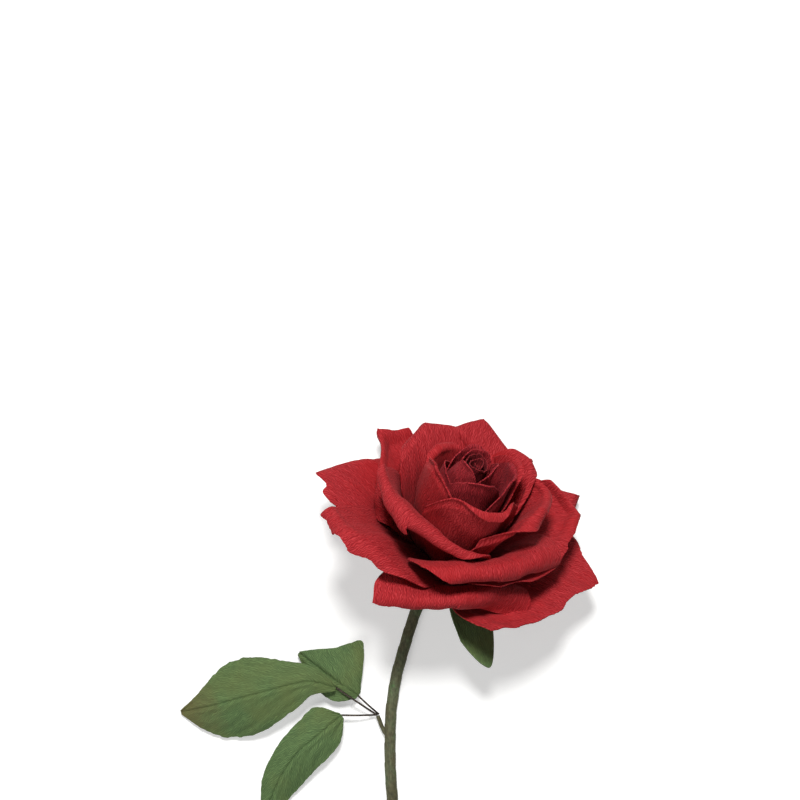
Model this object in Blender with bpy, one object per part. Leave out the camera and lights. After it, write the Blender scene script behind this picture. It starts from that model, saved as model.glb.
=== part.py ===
"""Crepe paper rose on a wired stem, lying on its back as a cut flower comes to rest.

The origin is the centre of the stem's cut end, +Y runs up the stem and +Z points up from
the table. The bloom is modelled about its own axis and then tilted, so a petal is given
by its azimuth round that axis, counted from the right, and by where its rim lies.
"""

import math
from dataclasses import dataclass

import bpy
import numpy as np
from mathutils import Matrix, Vector
from mathutils.bvhtree import BVHTree

MM = 0.001

# Driving sizes, in metres
PETAL_PAPER = 0.5 * MM        # two crepe layers glued together
LEAF_PAPER = 0.5 * MM
SEAT_GAP = 0.3 * MM           # left between pieces that touch
STEM_RADIUS = 2.65 * MM
STEM_WIRE_RADIUS = 1.0 * MM
LEAF_WIRE_RADIUS = 0.45 * MM
PETIOLE_RADIUS = 0.9 * MM
HIP_LENGTH = 13.0 * MM        # green bulb under the petals
PETAL_FOOT = 2.4 * MM         # half width of a petal where it is glued

# The bloom leans 20 degrees to the right and tips 43 degrees away from straight up. It comes
# to rest where its lowest petal touches the table
BLOOM_LEAN = math.radians(-20)
BLOOM_TIP = math.radians(-43)
BLOOM_BASE = (17.3 * MM, 229.8 * MM)

TABLE_Z = -STEM_RADIUS


def smooth(t):
    """0 to 1 with a flat start and end."""
    t = np.clip(t, 0.0, 1.0)
    return t * t * (3 - 2 * t)


def material(name, colour, roughness):
    made = bpy.data.materials.new(name)
    made.use_nodes = True
    shader = made.node_tree.nodes["Principled BSDF"]
    shader.inputs["Base Color"].default_value = (*colour, 1)
    shader.inputs["Roughness"].default_value = roughness
    return made


def add_object(name, points, faces, finish):
    """One named mesh object, its points in metres."""
    mesh = bpy.data.meshes.new(name)
    mesh.from_pydata([tuple(p) for p in points], [], [tuple(f) for f in faces])
    mesh.validate()
    mesh.shade_smooth()
    mesh.set_sharp_from_angle(angle=math.radians(50))
    mesh.materials.append(finish)
    made = bpy.data.objects.new(name, mesh)
    bpy.context.scene.collection.objects.link(made)


def sheet_solid(middle, thickness):
    """Closed solid of a sheet: middle is a grid of points (rows, columns, 3) on its middle surface."""
    rows, columns = middle.shape[:2]
    across = np.gradient(middle, axis=1)
    along = np.gradient(middle, axis=0)
    normal = np.cross(across, along)
    normal /= np.linalg.norm(normal, axis=2, keepdims=True)
    upper = (middle + normal * thickness / 2).reshape(-1, 3)
    lower = (middle - normal * thickness / 2).reshape(-1, 3)
    count = rows * columns
    faces = []
    for i in range(rows - 1):
        for j in range(columns - 1):
            a, b = i * columns + j, i * columns + j + 1
            c, d = a + columns, b + columns
            faces += [(a, b, d), (a, d, c)]
            faces += [(a + count, d + count, b + count), (a + count, c + count, d + count)]
    rim = [j for j in range(columns)]
    rim += [i * columns + columns - 1 for i in range(1, rows)]
    rim += [(rows - 1) * columns + j for j in range(columns - 2, -1, -1)]
    rim += [i * columns for i in range(rows - 2, 0, -1)]
    for k, a in enumerate(rim):
        b = rim[(k + 1) % len(rim)]
        faces += [(a, a + count, b + count), (a, b + count, b)]
    return np.vstack([upper, lower]), faces


def turned_solid(profile, sides):
    """Solid of revolution about Z from (radius, height) pairs, closed where the radius is 0."""
    points, rings = [], []
    for radius, height in profile:
        if radius == 0:
            rings.append([len(points)])
            points.append((0.0, 0.0, height))
            continue
        rings.append(range(len(points), len(points) + sides))
        turn = [2 * math.pi * k / sides for k in range(sides)]
        points += [(radius * math.cos(t), radius * math.sin(t), height) for t in turn]
    faces = []
    for below, above in zip(rings, rings[1:]):
        for k in range(sides):
            n = (k + 1) % sides
            if len(below) == 1:
                faces.append((below[0], above[n], above[k]))
            elif len(above) == 1:
                faces.append((below[k], below[n], above[0]))
            else:
                faces += [(below[k], below[n], above[n]), (below[k], above[n], above[k])]
    return np.array(points), faces


def smooth_path(points, step):
    """Points about a step apart on a smooth curve through the given ones (Catmull-Rom)."""
    knots = [np.array(p, float) for p in points]
    knots = [2 * knots[0] - knots[1], *knots, 2 * knots[-1] - knots[-2]]
    path = []
    for a, b, c, d in zip(knots, knots[1:], knots[2:], knots[3:]):
        pieces = max(1, round(np.linalg.norm(c - b) / step))
        for t in np.linspace(0, 1, pieces, endpoint=False):
            path.append(0.5 * (2 * b + (c - a) * t + (2 * a - 5 * b + 4 * c - d) * t**2
                               + (3 * b - a - 3 * c + d) * t**3))
    path.append(knots[-2])
    return np.array(path)


def frames_along(path):
    """Unit side and up vectors that follow a path without twisting."""
    tangent = np.gradient(path, axis=0)
    tangent /= np.linalg.norm(tangent, axis=1, keepdims=True)
    up = np.array([0.0, 0.0, 1.0])
    sides, ups = [], []
    for t in tangent:
        side = np.cross(t, up)
        side /= np.linalg.norm(side)
        up = np.cross(side, t)
        sides.append(side)
        ups.append(up)
    return tangent, np.array(sides), np.array(ups)


def tube_solid(path, outer, sides, inner=None):
    """A round bar along a path, or a pipe where inner is its bore's radius. Ends are cut square."""
    _, side, up = frames_along(path)
    turn = np.array([2 * math.pi * k / sides for k in range(sides)])
    circle = np.cos(turn)[None, :, None] * side[:, None] + np.sin(turn)[None, :, None] * up[:, None]
    outer = np.broadcast_to(outer, len(path))
    skins = [path[:, None] + circle * outer[:, None, None]]
    if inner is not None:
        skins.append(path[:, None] + circle * inner)
    count, last = len(path) * sides, (len(path) - 1) * sides
    faces = []
    for skin in range(len(skins)):
        for i in range(len(path) - 1):
            for k in range(sides):
                n = (k + 1) % sides
                a, b = skin * count + i * sides + k, skin * count + i * sides + n
                quad = (a, a + sides, b + sides, b) if skin == 0 else (a, b, b + sides, a + sides)
                faces += [(quad[0], quad[1], quad[2]), (quad[0], quad[2], quad[3])]
    points = np.vstack([s.reshape(-1, 3) for s in skins])
    if inner is None:
        points = np.vstack([points, path[0], path[-1]])
        for k in range(sides):
            n = (k + 1) % sides
            faces += [(len(points) - 2, k, n), (len(points) - 1, last + n, last + k)]
    else:
        for k in range(sides):
            n = (k + 1) % sides
            faces += [(k, n, count + n), (k, count + n, count + k)]
            faces += [(last + k, last + count + k, last + count + n), (last + k, last + count + n, last + n)]
    return points, faces


@dataclass
class Petal:
    """One petal, in millimetres and degrees. Right is the side with the larger azimuth,
    and each pair gives the left side and then the right side."""

    name: str
    azimuth: float      # of the middle of its rim
    reach: float        # rim's distance from the bloom's axis
    height: float       # rim's height over the bloom's base
    lean: float         # of the paper at the rim, from the axis: 90 lies flat, more droops
    width: float
    hem: float          # paper beyond the rim, which is curled back
    curl: tuple         # radius of the curl
    slope: tuple        # how far the curl's line falls to each side
    tip: float = 0.0    # the point's offset to the right
    flat: float = 1.5   # how much straighter the rim is than a circle round the axis
    cup: float = 0.0    # how far the sides stand above the middle
    layer: int = 5
    shoulder: tuple = (0.36, 0.36)  # share of the length the sides are shorter than the point
    point: float = 2.2
    widest: float = 0.55  # share of the length it takes to reach its full width
    start: float = 20.0  # lean at the glued foot
    swirl: float = 1.2  # left side in and right side out, so neighbours overlap


# Where each layer is glued: six of petals up the bloom's core, then the sepals on the hip
FOOT_RADIUS = (3.2, 4.4, 5.6, 6.8, 8.0, 9.2, 7.9)
FOOT_HEIGHT = (8.5, 6.8, 5.1, 3.4, 1.9, 0.5, -3.0)


def petal_meridian(p):
    """The petal's middle line as a table: length along it, radius, height and lean."""
    foot = np.array([FOOT_RADIUS[p.layer], FOOT_HEIGHT[p.layer]])
    rim = np.array([p.reach, p.height])
    handle = 0.42 * np.linalg.norm(rim - foot)
    start, lean = math.radians(p.start), math.radians(p.lean)
    a = foot + handle * np.array([math.sin(start), math.cos(start)])
    b = rim - handle * np.array([math.sin(lean), math.cos(lean)])
    t = np.linspace(0, 1, 60)[:, None]
    line = (1 - t)**3 * foot + 3 * (1 - t)**2 * t * a + 3 * (1 - t) * t**2 * b + t**3 * rim
    run = np.gradient(line, axis=0)
    length = np.concatenate([[0], np.cumsum(np.linalg.norm(np.diff(line, axis=0), axis=1))])
    return length, line[:, 0], line[:, 1], np.unwrap(np.arctan2(run[:, 0], run[:, 1]))


def petal_grid(p, columns, low_rows, hem_rows, push=0.0):
    """Middle surface of a petal in the bloom's frame, in millimetres, and its outward directions.

    Push moves its points outwards, and has the grid's own shape."""
    length, radius, height, lean = petal_meridian(p)
    rim = length[-1]
    whole = rim + p.hem
    half = p.width / 2

    # The flat blank: its top edge, and the line it curls about
    across = np.linspace(-1, 1, columns + 1)[None, :]
    off_tip = across - p.tip / half
    side = smooth(0.5 + off_tip * half / 12)
    shoulder = p.shoulder[0] + (p.shoulder[1] - p.shoulder[0]) * side
    top = whole * (1 - shoulder * (np.abs(off_tip) / (1 + abs(p.tip / half))) ** p.point)
    slope = np.radians(p.slope[0] + (p.slope[1] - p.slope[0]) * side)
    curl = p.curl[0] + (p.curl[1] - p.curl[0]) * side
    split = np.clip(rim - np.abs(off_tip) * half * np.tan(slope), 0.3 * top, 0.88 * top)
    low = np.linspace(0, 1, low_rows + 1)[:, None] * split
    high = split + np.linspace(0, 1, hem_rows + 1)[1:, None] * (top - split)
    y = np.vstack([low, high])
    foot = PETAL_FOOT / MM
    x = across * (foot + (half - foot) * np.sin(np.pi / 2 * np.clip(y / whole / p.widest, 0, 1)) ** 1.3)
    share = x / half

    # Curl the hem backwards about the line
    beyond = (y - (rim - np.abs(x - p.tip) * np.tan(slope))) * np.cos(slope)
    turn = np.maximum(beyond, 0) / curl
    back = curl * (turn - np.sin(turn))
    drop = curl * (1 - np.cos(turn))
    x = x - np.sign(x - p.tip) * np.sin(slope) * back
    y = y - np.cos(slope) * back
    rise = smooth(y / whole / 0.8)
    lift = p.cup * share**2 * rise - p.swirl * across * smooth(y / whole / 0.25) - drop - push

    # Wrap the blank round the bloom's axis, straighter towards the rim
    r = np.interp(y, length, radius)
    z = np.interp(y, length, height)
    b = np.interp(y, length, lean)
    past = np.maximum(y - rim, 0)
    r = r + past * math.sin(lean[-1])
    z = z + past * math.cos(lean[-1])
    bend = r * (1 + (p.flat - 1) * rise)
    angle = x / bend
    outward = r - bend + (bend - lift * np.cos(b)) * np.cos(angle)
    sideways = (bend - lift * np.cos(b)) * np.sin(angle)
    up = z + lift * np.sin(b)
    c, s = math.cos(math.radians(p.azimuth)), math.sin(math.radians(p.azimuth))
    turn = angle + math.radians(p.azimuth)
    away = np.stack([np.cos(b) * np.cos(turn), np.cos(b) * np.sin(turn), -np.sin(b)], axis=2)
    return np.stack([outward * c - sideways * s, outward * s + sideways * c, up], axis=2), away


# In the order they are glued on, each outside the ones before it
PETALS = (
    Petal("petal_inner_1", 100, 7.5, 65, 3, 25, 1.5, (3, 3), (10, 10), flat=1.0, layer=0, start=20, swirl=0.8),
    Petal("petal_inner_2", 350, 7.8, 66, 3, 25, 1.5, (3, 3), (10, 10), flat=1.0, layer=0, start=20, swirl=0.8),
    Petal("petal_inner_3", 237, 8.0, 67, 2, 24, 2, (3, 3), (4, 4), flat=2, layer=0, start=20, swirl=0.8),
    Petal("petal_heart_1", 105, 11, 60, 6, 30, 2, (3, 3), (12, 12), flat=1.0, layer=1, start=26, swirl=0.8),
    Petal("petal_heart_2", 190, 11, 55, 5, 28, 2, (3, 3), (12, 12), flat=1.0, layer=1, start=26, swirl=0.8),
    Petal("petal_heart_3", 285, 12, 64, 5, 34, 2, (3, 3), (8, 8), flat=1.3, layer=1, start=26, swirl=0.8),
    Petal("petal_heart_4", 8, 16, 62, 8, 36, 2.5, (3, 3), (12, 12), flat=1.2, layer=1, start=30, swirl=0.8),
    Petal("petal_mid_1", 90, 19, 50, 20, 26, 4, (2.6, 2.6), (15, 15), flat=1.1, layer=2, start=36),
    Petal("petal_mid_2", 145, 19, 51, 22, 34, 5, (2.6, 2.6), (15, 15), flat=1.1, layer=2, start=36),
    Petal("petal_mid_3", 33, 20.5, 58, 20, 35, 3, (2.6, 2.6), (15, 15), flat=1.2, layer=2, start=38),
    Petal("petal_mid_4", 229, 16, 60, 10, 36, 3, (2.5, 2.5), (45, 25), tip=-9, flat=3, layer=2, start=36,
          shoulder=(0.45, 0.25), point=1.1),
    Petal("petal_mid_5", 296, 18.5, 60, 26, 44, 6, (2.2, 2.2), (6, 6), flat=3.5, layer=2, start=40),
    Petal("petal_round_1", 48, 30, 51, 48, 31, 7, (3, 3), (15, 15), flat=1.3, layer=3, start=48),
    Petal("petal_round_2", 130, 37, 43, 65, 40, 11, (4, 4), (14, 26), flat=1.3, layer=3, start=50, swirl=3),
    Petal("petal_round_3", 358, 28.5, 53, 46, 46, 12, (4, 4), (16, 6), flat=1.3, layer=3, start=48),
    Petal("petal_round_4", 238, 31, 50, 58, 62, 15, (5.4, 3.6), (8, 24), tip=0, flat=2.2, layer=3,
          shoulder=(0.15, 0.4), start=48),
    Petal("petal_wide_1", 92, 53, 32, 75, 66, 5, (4, 4), (35, 35), flat=1.5, layer=4, start=58),
    Petal("petal_wide_2", 156, 49, 30, 92, 48, 10, (4, 4), (10, 40), tip=-12, flat=1.5, layer=4,
          shoulder=(0.2, 0.45), point=1.3, start=55),
    Petal("petal_wide_3", 308, 36, 42, 66, 66, 14, (5, 5), (8, 6), cup=-4, flat=3.5, layer=4,
          shoulder=(0.3, 0.12), point=3, start=58),
    Petal("petal_wide_4", 2, 51, 36, 78, 74, 6, (4, 4), (8, 25), tip=18.5, flat=1.3, layer=4, start=60,
          shoulder=(0.3, 0.3), point=1.2),
    Petal("petal_wide_5", 228, 52, 34, 80, 50, 10, (4.5, 4.5), (0, 22), tip=-12.5, cup=-4, flat=2.5, layer=4,
          shoulder=(0.1, 0.45), start=62),
    Petal("petal_outer_1", 287, 40, 28, 90, 74, 15, (5.5, 5.5), (0, 22), cup=-12, flat=4, layer=5,
          shoulder=(0.12, 0.34), point=3, widest=0.8, start=72),
    Petal("petal_outer_3", 38, 60, 24, 88, 38, 6, (4, 4), (40, 40), flat=1.3, layer=5, start=76),
    Petal("petal_outer_2", 347, 68, 14, 90, 78, 3, (5, 5), (8, 35), tip=19.5, flat=1.3, layer=5, start=78,
          shoulder=(0.32, 0.6), point=1.0),
    Petal("petal_outer_4", 170, 61, 24, 85, 46, 6, (4, 4), (36, 30), tip=11.5, flat=1.3, layer=5, start=74,
          shoulder=(0.22, 0.5), point=1.2),
    Petal("petal_outer_5", 115, 43, 23, 85, 46, 4, (4, 4), (35, 35), flat=1.3, layer=5, start=76),
)


SEPALS = (
    Petal("sepal_1", 314, 54, -19, 112, 19, 0.5, (5, 5), (0, 0), layer=6, shoulder=(0.3, 0.3), point=1.6, start=102),
    Petal("sepal_2", 12, 32, -7, 100, 11, 0.5, (5, 5), (0, 0), layer=6, shoulder=(0.85, 0.85), point=1.2, start=75),
    Petal("sepal_3", 84, 24, 1, 86, 11, 0.5, (5, 5), (0, 0), layer=6, shoulder=(0.85, 0.85), point=1.2, start=75),
    Petal("sepal_4", 156, 31, -5, 100, 11, 0.5, (5, 5), (0, 0), layer=6, shoulder=(0.85, 0.85), point=1.2, start=75),
    Petal("sepal_5", 228, 26, -10, 115, 11, 0.5, (5, 5), (0, 0), layer=6, shoulder=(0.85, 0.85), point=1.2, start=75),
)

# Turned profiles about the bloom's axis: radius and height in millimetres
CORE = ((0, -0.5), (8.0, -0.5), (7.6, 0.8), (2.2, 8.2), (2.6, 14), (4.6, 26), (4.2, 40), (3.6, 51.2), (0, 51.2))
HIP = ((0, -HIP_LENGTH / MM - 0.5), (3.2, -HIP_LENGTH / MM - 0.5), (5.2, -HIP_LENGTH / MM + 2.5),
       (6.9, -HIP_LENGTH / MM + 6.5), (7.2, -3), (7.6, -0.9), (0, -0.9))


@dataclass
class Leaf:
    """One leaflet in the table's frame, in millimetres: stations along its midrib from the base
    to the tip, each with the midrib's place and the half widths on its left and right."""

    name: str
    stations: tuple     # (x, y, z, left, right)
    arch: float         # how far the edges hang below the midrib, as a share of the half width


LEAVES = (
    Leaf("leaf_1", ((-21.4, 161.4, 2.5, 1.5, 1.5), (-27, 165.4, 4.0, 8, 14), (-32.3, 169.2, 4.6, 9, 21.5),
                    (-38.4, 173.6, 4.2, 8, 13), (-44, 177.7, 3.0, 4.5, 6.5), (-49, 181, 0.5, 0.8, 0.8)), 0.18),
    Leaf("leaf_2", ((-31.5, 165.7, 6.5, 1.2, 1.2), (-44, 169.0, 10.5, 7.2, 7.2), (-55.6, 166.7, 11.5, 12.6, 12.6),
                    (-67.5, 163.5, 10.5, 17.2, 16.8), (-77.8, 160.4, 8.0, 18.4, 16.4), (-87.5, 157.4, 5.2, 16, 11.5),
                    (-96, 155.2, 2.2, 9.6, 5.6), (-104, 153.3, -1.6, 0.8, 0.8)), 0.30),
    Leaf("leaf_3", ((-29.0, 152.5, 4.0, 1.5, 1.5), (-34.5, 148.2, 6.5, 8.5, 10.5), (-41.5, 142.4, 7.6, 11, 10.6),
                    (-48.5, 136.4, 7.6, 11.6, 9.6), (-54, 129.2, 6.4, 11, 8.6), (-58.5, 121.4, 4.4, 9.5, 7.6),
                    (-62, 112.6, 1.4, 6, 5), (-66, 104, -1.6, 0.8, 0.8)), 0.34),
)


# Where each leaflet's wire leaves the petiole's end: to the right and up in wire widths,
# and how much farther out its slanting end needs to start, in millimetres
FORK = ((1, -0.5, 0.2), (0, 1.1, 0.3), (-1, -0.5, 0.45))


def grid_size(p):
    """Columns, rows below the curl and rows in it."""
    if p.layer == 6:
        return (4, 5, 1)
    return (6, 4, 3) if p.layer < 2 else (8, 4, 5)


CLEAR = 1.1          # between the middle surfaces of two petals
REACH = 9.0          # how far a petal is pushed at most in one go


def grid_tree(grid):
    rows, columns = grid.shape[:2]
    quads = [(i * columns + j, i * columns + j + 1, (i + 1) * columns + j + 1, (i + 1) * columns + j)
             for i in range(rows - 1) for j in range(columns - 1)]
    return BVHTree.FromPolygons([tuple(v) for v in grid.reshape(-1, 3)], quads)


def farthest_hit(tree, start, way, reach):
    """Distance to the last face met between CLEAR behind the start and the reach before it."""
    found = None
    gone = -CLEAR
    for _ in range(4):
        hit, _, _, distance = tree.ray_cast(start + way * gone, way, reach - gone)
        if hit is None:
            break
        gone += distance + 1e-4
        found = gone
    return found


def push_needed(outer, inner, tree_outer, tree_inner, tree_near):
    """How far each grid point of the outer petal has to move to lie clear outside the inner one.

    The near tree is the outer petal moved in by its clearance."""
    grid, away = outer
    need = np.zeros(grid.shape[:2])
    for i in range(1, grid.shape[0]):
        for j in range(grid.shape[1]):
            met = farthest_hit(tree_inner, Vector(grid[i, j]), Vector(away[i, j]), REACH)
            if met is not None:
                need[i, j] = met + CLEAR
    grid, away = inner
    columns = need.shape[1] - 1
    for i in range(1, grid.shape[0]):
        for j in range(grid.shape[1]):
            way = -Vector(away[i, j])
            hit, _, face, distance = tree_outer.ray_cast(Vector(grid[i, j]) - way * CLEAR, way, REACH + CLEAR)
            if hit is None:
                continue
            row, column = divmod(face, columns)
            patch = need[row:row + 2, column:column + 2]
            np.maximum(patch, distance, out=patch)
    for face, _ in tree_near.overlap(tree_inner):
        row, column = divmod(face, columns)
        patch = need[row:row + 2, column:column + 2]
        np.maximum(patch, 0.4, out=patch)
    return need


def settle(petals):
    """Pushes every petal off the ones glued on before it, as the paper itself would.

    Gives the outward push of each grid point by petal name."""
    pushes, made, trees = {}, {}, {}
    for k, p in enumerate(petals):
        columns, low, hem = grid_size(p)
        push = np.zeros((low + hem + 1, columns + 1))
        for _ in range(16):
            grid, away = made[p.name] = petal_grid(p, columns, low, hem, push)
            trees[p.name] = grid_tree(grid)
            near = grid_tree(grid - away * 1.0)
            need = np.zeros_like(push)
            for inner in petals[:k]:
                need = np.maximum(need, push_needed(made[p.name], made[inner.name], trees[p.name],
                                                    trees[inner.name], near))
            if need.max() < 0.05:
                break
            push = push + need
            for _ in range(3):
                padded = np.pad(push, 1, mode="edge")
                near = (padded[:-2, 1:-1] + padded[2:, 1:-1] + padded[1:-1, :-2] + padded[1:-1, 2:]) / 4
                push = np.maximum(push, 0.85 * near)
            push[0] = 0
        pushes[p.name] = push
    return pushes


def place_bloom(frame, grids):
    """Rests the bloom on the table: returns its frame raised to where the lowest point touches."""
    turned = np.array(frame.to_3x3())
    lowest = min(float((grid @ turned.T)[..., 2].min()) for grid in grids) * MM - PETAL_PAPER / 2
    raised = frame.copy()
    raised.translation = (*BLOOM_BASE, TABLE_Z - lowest)
    return raised


def in_frame(frame, points):
    turned = np.array(frame)
    return points @ turned[:3, :3].T + turned[:3, 3]


def make_bloom(red, green):
    """Core, petals, hip and sepals. Returns the bloom's frame."""
    frame = Matrix.Rotation(BLOOM_LEAN, 4, "Z") @ Matrix.Rotation(BLOOM_TIP, 4, "X")
    pushes = settle(PETALS)
    grids = [petal_grid(p, *grid_size(p), push=pushes[p.name])[0] for p in PETALS]
    frame = place_bloom(frame, grids)
    for p, grid in zip(PETALS, grids):
        points, faces = sheet_solid(grid * MM, PETAL_PAPER)
        add_object(p.name, in_frame(frame, points), faces, red)
    for p in SEPALS:
        grid, _ = petal_grid(p, *grid_size(p))
        points, faces = sheet_solid(grid * MM, LEAF_PAPER)
        add_object(p.name, in_frame(frame, points), faces, green)
    for name, profile, finish in (("bud_core", CORE, red), ("hip", HIP, green)):
        points, faces = turned_solid([(r * MM, z * MM) for r, z in profile], 10)
        add_object(name, in_frame(frame, points), faces, finish)

    # The rolled strip at the heart
    turn = np.linspace(0, 3.4 * math.pi, 21)
    rows = [51.5, 58.0, 64.0]
    grid = np.array([[((1.5 + 0.34 * t + 0.4 * k) * math.cos(t), (1.5 + 0.34 * t + 0.4 * k) * math.sin(t),
                       z + 0.8 * k * math.sin(1.7 * t)) for t in turn] for k, z in enumerate(rows)])
    points, faces = sheet_solid(grid[::-1] * MM, PETAL_PAPER)
    add_object("bud_roll", in_frame(frame, points), faces, red)
    return frame


def make_stem(frame, steel, green):
    """Wire and paper wrap from the cut end to the hip."""
    axis = np.array(frame.to_3x3() @ Vector((0, 0, 1)))
    top = np.array(frame.translation) - axis * (HIP_LENGTH + 0.9 * MM)
    knots = [(0, 0, 0), (0, 12, 0), (-2.4, 57, 0), (-5.5, 114, 0), (-6.3, 126, 0), (-6.5, 139, 0), (-6.1, 153, 0),
             (-3.4, 171, 0), (0.2, 184, 0), (4.6, 198, 0)]
    knots = [np.array(k) * MM for k in knots]
    knots += [top - axis * 6 * MM, top]
    path = smooth_path(knots, 12 * MM)
    path[:, 2] = np.maximum(path[:, 2], 0)
    points, faces = tube_solid(path, STEM_RADIUS, 8, STEM_WIRE_RADIUS + SEAT_GAP)
    add_object("stem_wrap", points, faces, green)
    points, faces = tube_solid(path, STEM_WIRE_RADIUS, 5)
    add_object("stem_wire", points, faces, steel)


def leaf_grid(leaf, rows, columns):
    """Middle surface of a leaflet in millimetres, and its midrib."""
    stations = np.array(leaf.stations, float)
    at = np.linspace(0, len(stations) - 1, rows + 1)
    place = np.stack([np.interp(at, np.arange(len(stations)), stations[:, k]) for k in range(5)], axis=1)
    middle = place[:, :3]
    tangent = np.gradient(middle, axis=0)
    side = np.cross(tangent, (0, 0, 1.0))
    side /= np.linalg.norm(side, axis=1, keepdims=True)
    across = np.linspace(-1, 1, columns + 1)
    half = np.where(across[None, :] < 0, place[:, 3:4], place[:, 4:5])
    out = across[None, :] * half
    drop = leaf.arch * np.abs(out) ** 1.5 / 4
    grid = middle[:, None] + side[:, None] * out[..., None]
    grid[..., 2] -= drop
    grid[..., 2] = np.maximum(grid[..., 2], TABLE_Z / MM + 0.3)
    return grid, middle


def make_leaf(leaf, fork, green, steel):
    grid, middle = leaf_grid(leaf, 8, 6)
    points, faces = sheet_solid(grid * MM, LEAF_PAPER)
    add_object(leaf.name, points, faces, green)
    below = LEAF_PAPER / 2 + SEAT_GAP + LEAF_WIRE_RADIUS
    rib = middle[:6] * MM - np.array([0, 0, 1]) * below * 1.1
    rib[:, 2] = np.maximum(rib[:, 2], TABLE_Z + LEAF_WIRE_RADIUS)
    free = smooth_path([fork, fork + (rib[0] - fork) * 0.5 + np.array([0, 0, 1.2]) * MM, rib[0]], 4 * MM)
    path = np.vstack([free[:-1], rib])
    points, faces = tube_solid(path, LEAF_WIRE_RADIUS, 5)
    add_object(leaf.name.replace("leaf", "leaf_wire"), points, faces, steel)


def make_leaves(green, steel):
    """The petiole taped to the stem, and the leaflets whose wires come out of its end."""
    path = smooth_path([(-10.4, 146.6, 0.2), (-11.2, 149.2, 0.3), (-12.2, 151.8, 0.4)], 2) * MM
    points, faces = tube_solid(path, PETIOLE_RADIUS, 6)
    add_object("petiole", points, faces, green)
    onward, side, up = (vectors[-1] for vectors in frames_along(path))
    spread = LEAF_WIRE_RADIUS + SEAT_GAP
    for leaf, (right, over, ahead) in zip(LEAVES, FORK):
        fork = path[-1] + side * spread * right + up * spread * over + onward * (SEAT_GAP + ahead * MM)
        make_leaf(leaf, fork, green, steel)


def main():
    for old in list(bpy.data.objects):
        bpy.data.objects.remove(old, do_unlink=True)
    red = material("crepe_red", (0.45, 0.012, 0.018), 0.85)
    green = material("crepe_green", (0.07, 0.15, 0.06), 0.85)
    wire_finish = material("dark_wire", (0.03, 0.025, 0.02), 0.5)
    frame = make_bloom(red, green)
    make_stem(frame, wire_finish, green)
    make_leaves(green, wire_finish)


main()
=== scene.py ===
"""Crepe paper rose, lying on its back as a cut flower comes to rest.

The frame's origin is the centre of the stem's cut end, +Y runs up the stem and +Z points
up from the table. Sizes in the pieces' sections are in millimetres unless they say otherwise.
"""

import math
from dataclasses import dataclass

import bpy
import numpy as np
from mathutils import Matrix, Vector
from mathutils.bvhtree import BVHTree


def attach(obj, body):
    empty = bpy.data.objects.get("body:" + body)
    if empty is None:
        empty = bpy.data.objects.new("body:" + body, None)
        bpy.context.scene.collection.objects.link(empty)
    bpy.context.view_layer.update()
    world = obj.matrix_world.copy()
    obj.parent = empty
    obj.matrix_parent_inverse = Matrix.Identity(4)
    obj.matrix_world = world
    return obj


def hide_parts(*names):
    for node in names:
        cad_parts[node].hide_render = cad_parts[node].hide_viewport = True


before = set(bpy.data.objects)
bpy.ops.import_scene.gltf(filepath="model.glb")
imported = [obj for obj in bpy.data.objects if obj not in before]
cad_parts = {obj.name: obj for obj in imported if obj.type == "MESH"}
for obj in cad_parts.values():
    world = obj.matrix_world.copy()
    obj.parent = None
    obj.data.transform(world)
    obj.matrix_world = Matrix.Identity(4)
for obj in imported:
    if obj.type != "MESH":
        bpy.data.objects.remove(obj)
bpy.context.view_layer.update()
MM = 0.001


# Wires: annealed steel florist's wire, bare where the leaflets meet the stem. The thick one
# runs up the stem to the bud's core and is hidden but for its cut end.
def srgb(code):
    """A hex colour as linear red, green, blue and alpha."""
    parts = [int(code[k:k + 2], 16) / 255 for k in (1, 3, 5)]
    return tuple(c / 12.92 if c < 0.04045 else ((c + 0.055) / 1.055) ** 2.4 for c in parts) + (1.0,)


def add_node(tree, kind, inputs=None, **settings):
    """A node with its settings, and its inputs given as values or as the sockets they link to."""
    node = tree.nodes.new(kind)
    for key, value in settings.items():
        setattr(node, key, value)
    for key, value in (inputs or {}).items():
        if isinstance(value, bpy.types.NodeSocket):
            tree.links.new(value, node.inputs[key])
        else:
            node.inputs[key].default_value = value
    return node


def new_finish(name, **sockets):
    """A material with values on its shader's sockets. Returns it, its tree and the shader."""
    finish = bpy.data.materials.new(name)
    finish.use_nodes = True
    shader = finish.node_tree.nodes["Principled BSDF"]
    for key, value in sockets.items():
        shader.inputs[key.replace("_", " ")].default_value = value
    return finish, finish.node_tree, shader


def ramp(tree, factor, stops):
    """Colour ramp from (position, hex colour) pairs."""
    node = add_node(tree, "ShaderNodeValToRGB", {"Fac": factor})
    node.color_ramp.elements.remove(node.color_ramp.elements[0])
    for k, (place, code) in enumerate(stops):
        stop = node.color_ramp.elements[0] if k == 0 else node.color_ramp.elements.new(place)
        stop.position = place
        stop.color = srgb(code)
    return node.outputs["Color"]


SCUFFS_PER_MM = 0.9


def annealed_wire():
    """Dark oxide with faint lighter scuffs, half dull."""
    finish, tree, shader = new_finish("annealed_wire", Metallic=0.7, Roughness=0.5)
    place = add_node(tree, "ShaderNodeTexCoord").outputs["Object"]
    scuffs = add_node(tree, "ShaderNodeTexNoise",
                      {"Vector": place, "Scale": SCUFFS_PER_MM / MM, "Detail": 3.0})
    tree.links.new(ramp(tree, scuffs.outputs["Fac"], ((0.4, "#2A2420"), (0.75, "#54493D"))),
                   shader.inputs["Base Color"])
    return finish


wire_finish = annealed_wire()
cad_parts["stem_wire"].data.materials.clear()
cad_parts["stem_wire"].data.materials.append(wire_finish)


# Petals: double crepe paper, its ridges running from the foot to the rim, stretched into a cup
# and with the rim curled back round a skewer. They are glued round the core one by one, and
# every petal lies outside the ones before it.
PETAL_PAPER = 0.5


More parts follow.
